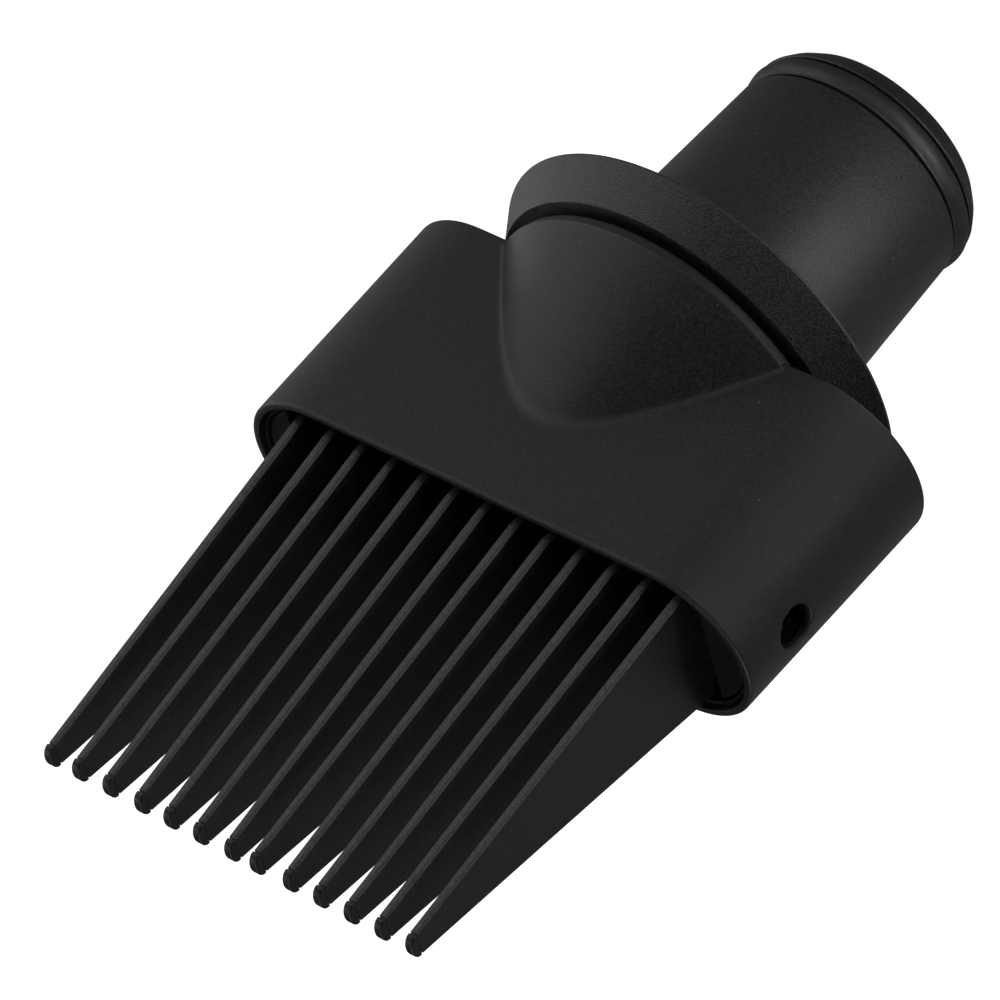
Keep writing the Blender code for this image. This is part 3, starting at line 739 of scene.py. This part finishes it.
def access_cutter(side):
    """A round hole with a softened rim that follows the shell's round end."""
    rings = [(ACCESS_R, None)]
    for angle in quarter_turn(5):
        rings.append((ACCESS_R + ACCESS_ROUND * (1 - math.cos(angle)),
                      -ACCESS_ROUND * (1 - math.sin(angle))))
    rings.append((ACCESS_R + ACCESS_ROUND + ACCESS_BEYOND[0], ACCESS_BEYOND[1]))
    loops = []
    for radius, depth in rings:
        loop = []
        for i in range(ACCESS_COUNT):
            angle = side * TAU * i / ACCESS_COUNT
            y, z = radius * math.cos(angle), SCREW_Z + radius * math.sin(angle)
            x = CUP_INNER_X if depth is None else end_surface(y, z) + depth
            loop.append((side * x, y, z))
        loops.append(loop)
    return skin("access", loops, wrap=False)


def screw_circle(radius, x, side, count):
    """A circle round the side screws' axis."""
    return [(side * x, radius * math.cos(TAU * i / count),
             SCREW_Z + radius * math.sin(TAU * i / count)) for i in range(count)]


def side_rod(name, radius, inner_x, outer_x, side, count=48):
    """A cylinder along X at the screw's height."""
    loops = [screw_circle(radius, x, side, count) for x in (inner_x, outer_x)]
    return skin(name, loops, wrap=False)


def duct_loop(directions, z, wall, cone_wall):
    start = DUCT_CONE_R - cone_wall
    length = between(z, DUCT_REAR, start, DUCT_FULL_Z, DUCT_HALF_LENGTH - wall)
    oval = oval_radius(directions, length, DUCT_HALF_THICK - wall)
    funnel = start - BOSS_SLOPE * (z - DUCT_REAR)
    return loop_at(directions, smooth_greater(oval, funnel, 0), z)


def make_duct(material):
    directions = oval_directions(LINER_COUNT, DUCT_HALF_LENGTH, DUCT_HALF_THICK)
    heights = list(np.linspace(DUCT_REAR, DUCT_TOP - DUCT_ROUND, DUCT_LOOPS))
    arc = quarter_turn(4)
    loops = [duct_loop(directions, z, 0, 0) for z in heights]
    for angle in arc[1:]:
        inset = DUCT_ROUND * (1 - math.cos(angle))
        loops.append(duct_loop(directions, DUCT_TOP - DUCT_ROUND * (1 - math.sin(angle)),
                               inset, 0))
    for angle in reversed(arc):
        inset = DUCT_WALL - DUCT_ROUND * (1 - math.cos(angle))
        loops.append(duct_loop(directions, DUCT_TOP - DUCT_ROUND * (1 - math.sin(angle)),
                               inset, DUCT_CONE_WALL))
    for z in reversed(heights[:-1]):
        loops.append(duct_loop(directions, z, DUCT_WALL, DUCT_CONE_WALL))
    duct = skin("duct", loops)
    for side in (1, -1):
        boolean(duct, side_rod("cup", CUP_R, CUP_INNER_X, DUCT_HALF_LENGTH - MM, side), "UNION")
        boolean(duct, side_rod("pocket", ACCESS_R, CUP_INNER_X + CUP_FLOOR, CUT_X, side))
        boolean(duct, side_rod("hole", SHANK_R + GAP, CUP_INNER_X - MM, CUT_X, side))
    return finish(duct, material, "nozzle", "inner_duct", sharp_degrees=35)


def blade_x(index, z):
    pitch = PITCH_MOUTH + (PITCH_TIP - PITCH_MOUTH) * (z - MOUTH) / (BLADE_TOP - MOUTH)
    return ((BLADES - 1) / 2 - index) * pitch


def blade_thickness(z):
    share = (z - MOUTH) / (BLADE_TOP - MOUTH)
    return BLADE_MOUTH_THICK + (BLADE_TIP_THICK - BLADE_MOUTH_THICK) * share


def make_carrier(material):
    half_length = DUCT_HALF_LENGTH - DUCT_WALL - GAP
    half_thick = DUCT_HALF_THICK - DUCT_WALL - GAP
    directions = oval_directions(LINER_COUNT, half_length, half_thick)
    loops = [loop_at(directions, oval_radius(directions, half_length, half_thick), z)
             for z in (CARRIER_REAR, CARRIER_FRONT, LUG_FRONT - CARRIER_ROUND)]
    for angle in quarter_turn(4)[1:]:
        inset = CARRIER_ROUND * (1 - math.cos(angle))
        loops.append(loop_at(directions, oval_radius(directions, half_length - inset,
                                                     half_thick - inset),
                             LUG_FRONT - CARRIER_ROUND * (1 - math.sin(angle))))
    carrier = skin("carrier", loops, wrap=False)
    rail = half_thick - CARRIER_RAIL
    boolean(carrier, box_mesh("window", (-LUG_INNER_X, -rail, CARRIER_REAR - MM),
                              (LUG_INNER_X, rail, LUG_FRONT + MM)))
    flared_x = LUG_INNER_X + 2 * LUG_FLARE
    outline = [(-LUG_INNER_X, CARRIER_FRONT), (LUG_INNER_X, CARRIER_FRONT),
               (LUG_INNER_X, LUG_FRONT - LUG_FLARE), (flared_x, LUG_FRONT + LUG_FLARE),
               (-flared_x, LUG_FRONT + LUG_FLARE), (-LUG_INNER_X, LUG_FRONT - LUG_FLARE)]
    boolean(carrier, prism("lowering", outline, -CUT_Y, CUT_Y))
    slots = []
    for index in range(BLADES):
        half = blade_thickness(SLOT_FLOOR) / 2 + GAP
        x = blade_x(index, (SLOT_FLOOR + CARRIER_FRONT) / 2)
        slots.append(box_mesh("slot", (x - half, -CUT_Y, SLOT_FLOOR),
                              (x + half, CUT_Y, CUT_Z)))
    boolean(carrier, joined(slots))
    for side in (1, -1):
        boolean(carrier, cup_guide(side))
        boolean(carrier, side_rod("thread", SHANK_R + GAP, LUG_INNER_X - MM, CUT_X, side))
    return finish(carrier, material, "nozzle", "comb_carrier",
                  sharp_degrees=30)


def cup_guide(side):
    """A round-topped slot that lets the lug slide past the duct's cup."""
    radius = CUP_R + GAP
    outline = [(-radius, CARRIER_REAR - MM)]
    for i in range(33):
        angle = math.pi * (1 - i / 32)
        outline.append((radius * math.cos(angle), SCREW_Z + radius * math.sin(angle)))
    outline.append((radius, CARRIER_REAR - MM))
    loops = [[(side * x, y, z) for y, z in outline] for x in (CUP_INNER_X - GAP, CUT_X)]
    return skin("guide", loops, wrap=False)


def back_edge(index):
    """How far back a blade reaches at the mouth; the end blades meet the duct's round end."""
    reach = abs(blade_x(index, BLADE_REAR)) + blade_thickness(BLADE_REAR) / 2
    radius = DUCT_HALF_THICK - DUCT_WALL
    beyond = max(0.0, reach - (DUCT_HALF_LENGTH - DUCT_HALF_THICK))
    return min(BACK_EDGE_MOUTH, math.sqrt(radius ** 2 - beyond ** 2) - GAP)


def blade_edges(index, z):
    """y of a blade's front and back edges at height z."""
    return (between(z, MOUTH, FRONT_EDGE_MOUTH, BLADE_TOP, FRONT_EDGE_TIP),
            between(z, MOUTH, back_edge(index), BLADE_TOP, BACK_EDGE_TIP))


def spring_at(index, z):
    """How far a blade has sprung sideways at height z."""
    share = max(0.0, (z - MOUTH) / (BLADE_TOP - MOUTH))
    return (LEAN + BENT.get(index + 1, 0.0)) * share ** SPRING_CURVE


def blade_section(half, front, back):
    """A blade's cross-section as (x, y): flat lands, chamfers and a fine groove by the -X side."""
    groove = -half + LAND_GROOVE
    soft = 0.06 * MM
    points = [
        (half, front + LAND_EDGE), (half - LAND_EDGE * 0.8, front),
        (groove + GROOVE_HALF, front), (groove, front + GROOVE_DEPTH),
        (groove - GROOVE_HALF, front + STRIP_DROP),
        (-half + STRIP_EDGE[0], front + STRIP_EDGE[1]), (-half, front + LAND_EDGE),
        (-half, back - LAND_EDGE), (-half + LAND_EDGE, back),
        (half - LAND_EDGE, back), (half, back - LAND_EDGE),
    ]
    radii = [soft, soft, 0.02 * MM, 0, 0.02 * MM, 0.05 * MM, soft, soft, soft, soft, soft]
    return fillet(points, radii, steps=2)


def make_blade(index, material):
    heights = [BLADE_REAR, *BLADE_INSIDE]
    heights += list(np.linspace(MOUTH, BLADE_TOP - BLADE_TOP_ROUND, BLADE_LOOPS))
    loops = []
    for z in heights:
        front, back = blade_edges(index, z)
        x = blade_x(index, z) + spring_at(index, z)
        section = blade_section(blade_thickness(z) / 2, front, back)
        loops.append([(x + u, v, z) for u, v in section])
    front, back = blade_edges(index, BLADE_TOP)
    x = blade_x(index, BLADE_TOP) + spring_at(index, BLADE_TOP)
    for angle in quarter_turn(3)[1:]:
        inset = BLADE_TOP_ROUND * (1 - math.cos(angle))
        section = blade_section(blade_thickness(BLADE_TOP) / 2, front, back)
        middle = (front + back) / 2
        squeeze = 1 - inset / (blade_thickness(BLADE_TOP) / 2)
        shorten = 1 - inset / ((back - front) / 2)
        loops.append([(x + u * squeeze, middle + (v - middle) * shorten,
                       BLADE_TOP - BLADE_TOP_ROUND * (1 - math.sin(angle))) for u, v in section])
    for z in (BLADE_TOP, BLADE_TOP + GAP + 0.1 * MM):
        loops.append([(x + u * CORE_SHARE[0], middle + (v - middle) * CORE_SHARE[1], z)
                      for u, v in section])
    blade = skin(f"blade_{index + 1:02d}", loops, wrap=False)
    return finish(blade, material, "nozzle", f"comb_blade_{index + 1:02d}",
                  sharp_degrees=28)


def make_tip(index, material):
    """The blade's end piece: half round from the side, with softened edges."""
    bottom = BLADE_TOP + GAP
    middle = (FRONT_EDGE_TIP + BACK_EDGE_TIP) / 2
    half_y = (BACK_EDGE_TIP - FRONT_EDGE_TIP) / 2
    half_x = BLADE_TIP_THICK / 2
    height = TIP_TOP - bottom
    x = blade_x(index, bottom) + spring_at(index, bottom)
    profile = [(half_y, 0.0)]
    for i in range(TIP_ARC + 1):
        angle = math.pi * i / TIP_ARC
        rise = between(math.sin(angle), 0, TIP_SHOULDER, 1, 1)
        profile.append((half_y * math.cos(angle), height * rise))
    profile.append((-half_y, 0.0))
    rounding = [(half_x - TIP_ROUND * (1 - math.sin(angle)),
                 TIP_ROUND * (1 - math.cos(angle))) for angle in quarter_turn(4)]
    loops = []
    for reach, inset in [(-u, v) for u, v in reversed(rounding)] + rounding:
        loops.append([(x + reach, middle + v * (1 - inset / half_y),
                       bottom + w * (1 - inset / height)) for v, w in profile])
    tip = skin(f"tip_{index + 1:02d}", loops, wrap=False)
    return finish(tip, material, "nozzle", f"blade_tip_{index + 1:02d}",
                  sharp_degrees=60)


def make_screw(name, node, side, material):
    """A recessed screw with a domed head and a cross recess."""
    head_x = CUP_INNER_X + CUP_FLOOR + HEAD_PLAY
    shank_end = abs(high(node).x if side < 0 else low(node).x)
    profile = [(SHANK_END_R, shank_end), (SHANK_R, shank_end + SHANK_TAPER),
               (SHANK_R, head_x), (HEAD_R, head_x), (HEAD_R, head_x + HEAD_THICK * HEAD_EDGE)]
    for angle in quarter_turn(6)[1:]:
        profile.append((HEAD_R * (1 - HEAD_DOME * (1 - math.cos(angle))),
                        head_x + HEAD_THICK * between(math.sin(angle), 0, HEAD_EDGE, 1, 1)))
    loops = [screw_circle(radius, x, side, 64) for radius, x in profile]
    screw = skin(name, loops, wrap=False)
    outer = head_x + HEAD_THICK
    for arm_y, arm_z in ((RECESS_REACH, RECESS_HALF), (RECESS_HALF, RECESS_REACH)):
        x0, x1 = sorted((side * (outer - RECESS_DEPTH), side * (outer + MM)))
        boolean(screw, box_mesh("recess", (x0, -arm_y, SCREW_Z - arm_z),
                                (x1, arm_y, SCREW_Z + arm_z)))
    return finish(screw, material, "nozzle", node, sharp_degrees=35)


# ---------------------------------------------------------------- studio

CAMERA_PLACE = Vector((-503.2, -693.96, 494.39)) * MM
CAMERA_TARGET = Vector((6.241, -0.626, 86.735)) * MM
CAMERA_ROLL = -137.28            # degrees
CAMERA_LENS = 230.49
CAMERA_SENSOR = 36               # its width; both are in mm
FLOOR_SIZE = 3.0                 # from its middle to its edge
FLOOR_THICK = 0.01
FLOOR_GLOW = 0.95                # what the floor adds for the camera only
WORLD_GLOW = 0.004
MIDDLE = Vector((0, 0, 75 * MM))
TUBE_MIDDLE = Vector((0, 0, 25 * MM))
# name: azimuth and elevation of its direction in degrees, distance, width and height in metres,
# power in watts, and the point it is aimed at
LAMPS = {
    "left_low": (4, 12, 0.8, 0.45, 0.45, 0.6, MIDDLE),
    "left_rear_low": (30, 14, 0.8, 0.45, 0.45, 0.25, MIDDLE),
    "front_low": (300, 14, 0.8, 0.45, 0.45, 1.0, MIDDLE),
    "left_high": (0, 45, 0.8, 0.45, 0.45, 1.0, MIDDLE),
    "rear_high": (120, 45, 0.8, 0.45, 0.45, 1.5, MIDDLE),
    "top": (0, 88, 0.8, 0.45, 0.45, 0.7, MIDDLE),
    "right_floor": (195, 3, 0.8, 0.2, 0.2, 0.12, MIDDLE),
    "front_floor": (255, 3, 0.8, 0.2, 0.2, 0.25, MIDDLE),
    "left_floor": (330, 3, 0.8, 0.2, 0.2, 0.6, MIDDLE),
    "right_bounce": (200, -8, 0.35, 0.05, 0.05, 0.1, MIDDLE),
    "front_bounce": (232, -8, 0.35, 0.05, 0.05, 0.08, MIDDLE),
    "left_bounce": (11, -5, 0.42, 0.06, 0.06, 0.03, MIDDLE),
    "tube_bounce": (208, -12, 0.062, 0.05, 0.018, 0.008, TUBE_MIDDLE),
}


def aim(obj, place, target):
    obj.location = place
    obj.rotation_mode = "QUATERNION"
    obj.rotation_quaternion = (target - place).to_track_quat("-Z", "Y")


def make_camera():
    """The view from the -X, -Y, +Z side, rolled so that the blades point down and left."""
    data = bpy.data.cameras.new("camera")
    data.lens = CAMERA_LENS
    data.sensor_width = CAMERA_SENSOR
    data.clip_start, data.clip_end = 0.05, 10
    camera = bpy.data.objects.new("camera", data)
    bpy.context.scene.collection.objects.link(camera)
    level = (CAMERA_TARGET - CAMERA_PLACE).to_track_quat("-Z", "Y").to_matrix()
    roll = Matrix.Rotation(math.radians(CAMERA_ROLL), 3, "Z")
    camera.matrix_world = Matrix.Translation(CAMERA_PLACE) @ (level @ roll).to_4x4()
    bpy.context.scene.camera = camera


def make_lamps():
    for name, (azimuth, elevation, distance, width, height, power, target) in LAMPS.items():
        data = bpy.data.lights.new(name, "AREA")
        data.shape = "RECTANGLE"
        data.size, data.size_y = width, height
        data.energy = power
        lamp = bpy.data.objects.new(name, data)
        bpy.context.scene.collection.objects.link(lamp)
        flat, up = math.radians(azimuth), math.radians(elevation)
        direction = Vector((math.cos(flat) * math.cos(up), math.sin(flat) * math.cos(up),
                            math.sin(up)))
        aim(lamp, target + direction * distance, target)


def make_floor():
    """A pale floor whose glow only the camera sees, so it reads white and doesn't light the part."""
    loops = [[(x * FLOOR_SIZE, y * FLOOR_SIZE, z) for x, y in ((-1, -1), (1, -1), (1, 1), (-1, 1))]
             for z in (-FLOOR_THICK, 0.0)]
    floor = skin("floor", loops, wrap=False)
    nodes = Nodes("floor_paper")
    nodes.set("Base Color", (0.6, 0.6, 0.6, 1.0))
    nodes.set("Roughness", 0.9)
    nodes.set("Specular IOR Level", 0.1)
    seen = nodes.add("ShaderNodeLightPath").outputs["Is Camera Ray"]
    nodes.set("Emission Color", (1.0, 1.0, 1.0, 1.0))
    nodes.set("Emission Strength", nodes.math("MULTIPLY", seen, FLOOR_GLOW))
    floor.data.materials.append(nodes.material)


def make_world():
    world = bpy.data.worlds.new("world")
    world.use_nodes = True
    background = world.node_tree.nodes["Background"]
    background.inputs["Color"].default_value = (1, 1, 1, 1)
    background.inputs["Strength"].default_value = WORLD_GLOW
    bpy.context.scene.world = world


# ---------------------------------------------------------------- assembly

def dress_hidden_nodes(materials):
    """The washers, the clip and the magnets keep their CAD meshes."""
    for node, key in (("swivel_washer_rear", "washer"), ("swivel_washer_front", "washer"),
                      ("retaining_clip", "clip")):
        paint(node, materials[key])
    for number in range(1, 9):
        paint(f"collar_magnet_{number}", materials["magnet"])


def paint(node, material):
    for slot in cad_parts[node].material_slots:
        slot.material = material


def build():
    materials = make_materials()
    make_end_ring(materials["tube"])
    make_seal(materials["seal"])
    make_tube(materials["tube"])
    make_collar(materials["collar"])
    make_back_plate(materials["collar"])
    make_shell(materials["shell"])
    make_duct(materials["inner"])
    make_carrier(materials["inner"])
    for index in range(BLADES):
        make_blade(index, materials["comb"])
        make_tip(index, materials["tip"])
    make_screw("screw_right", "side_screw_right", 1, materials["screw"])
    make_screw("screw_left", "side_screw_left", -1, materials["screw"])
    dress_hidden_nodes(materials)
    make_floor()
    make_world()
    make_lamps()
    make_camera()
    bpy.context.scene.view_settings.view_transform = "Standard"


build()
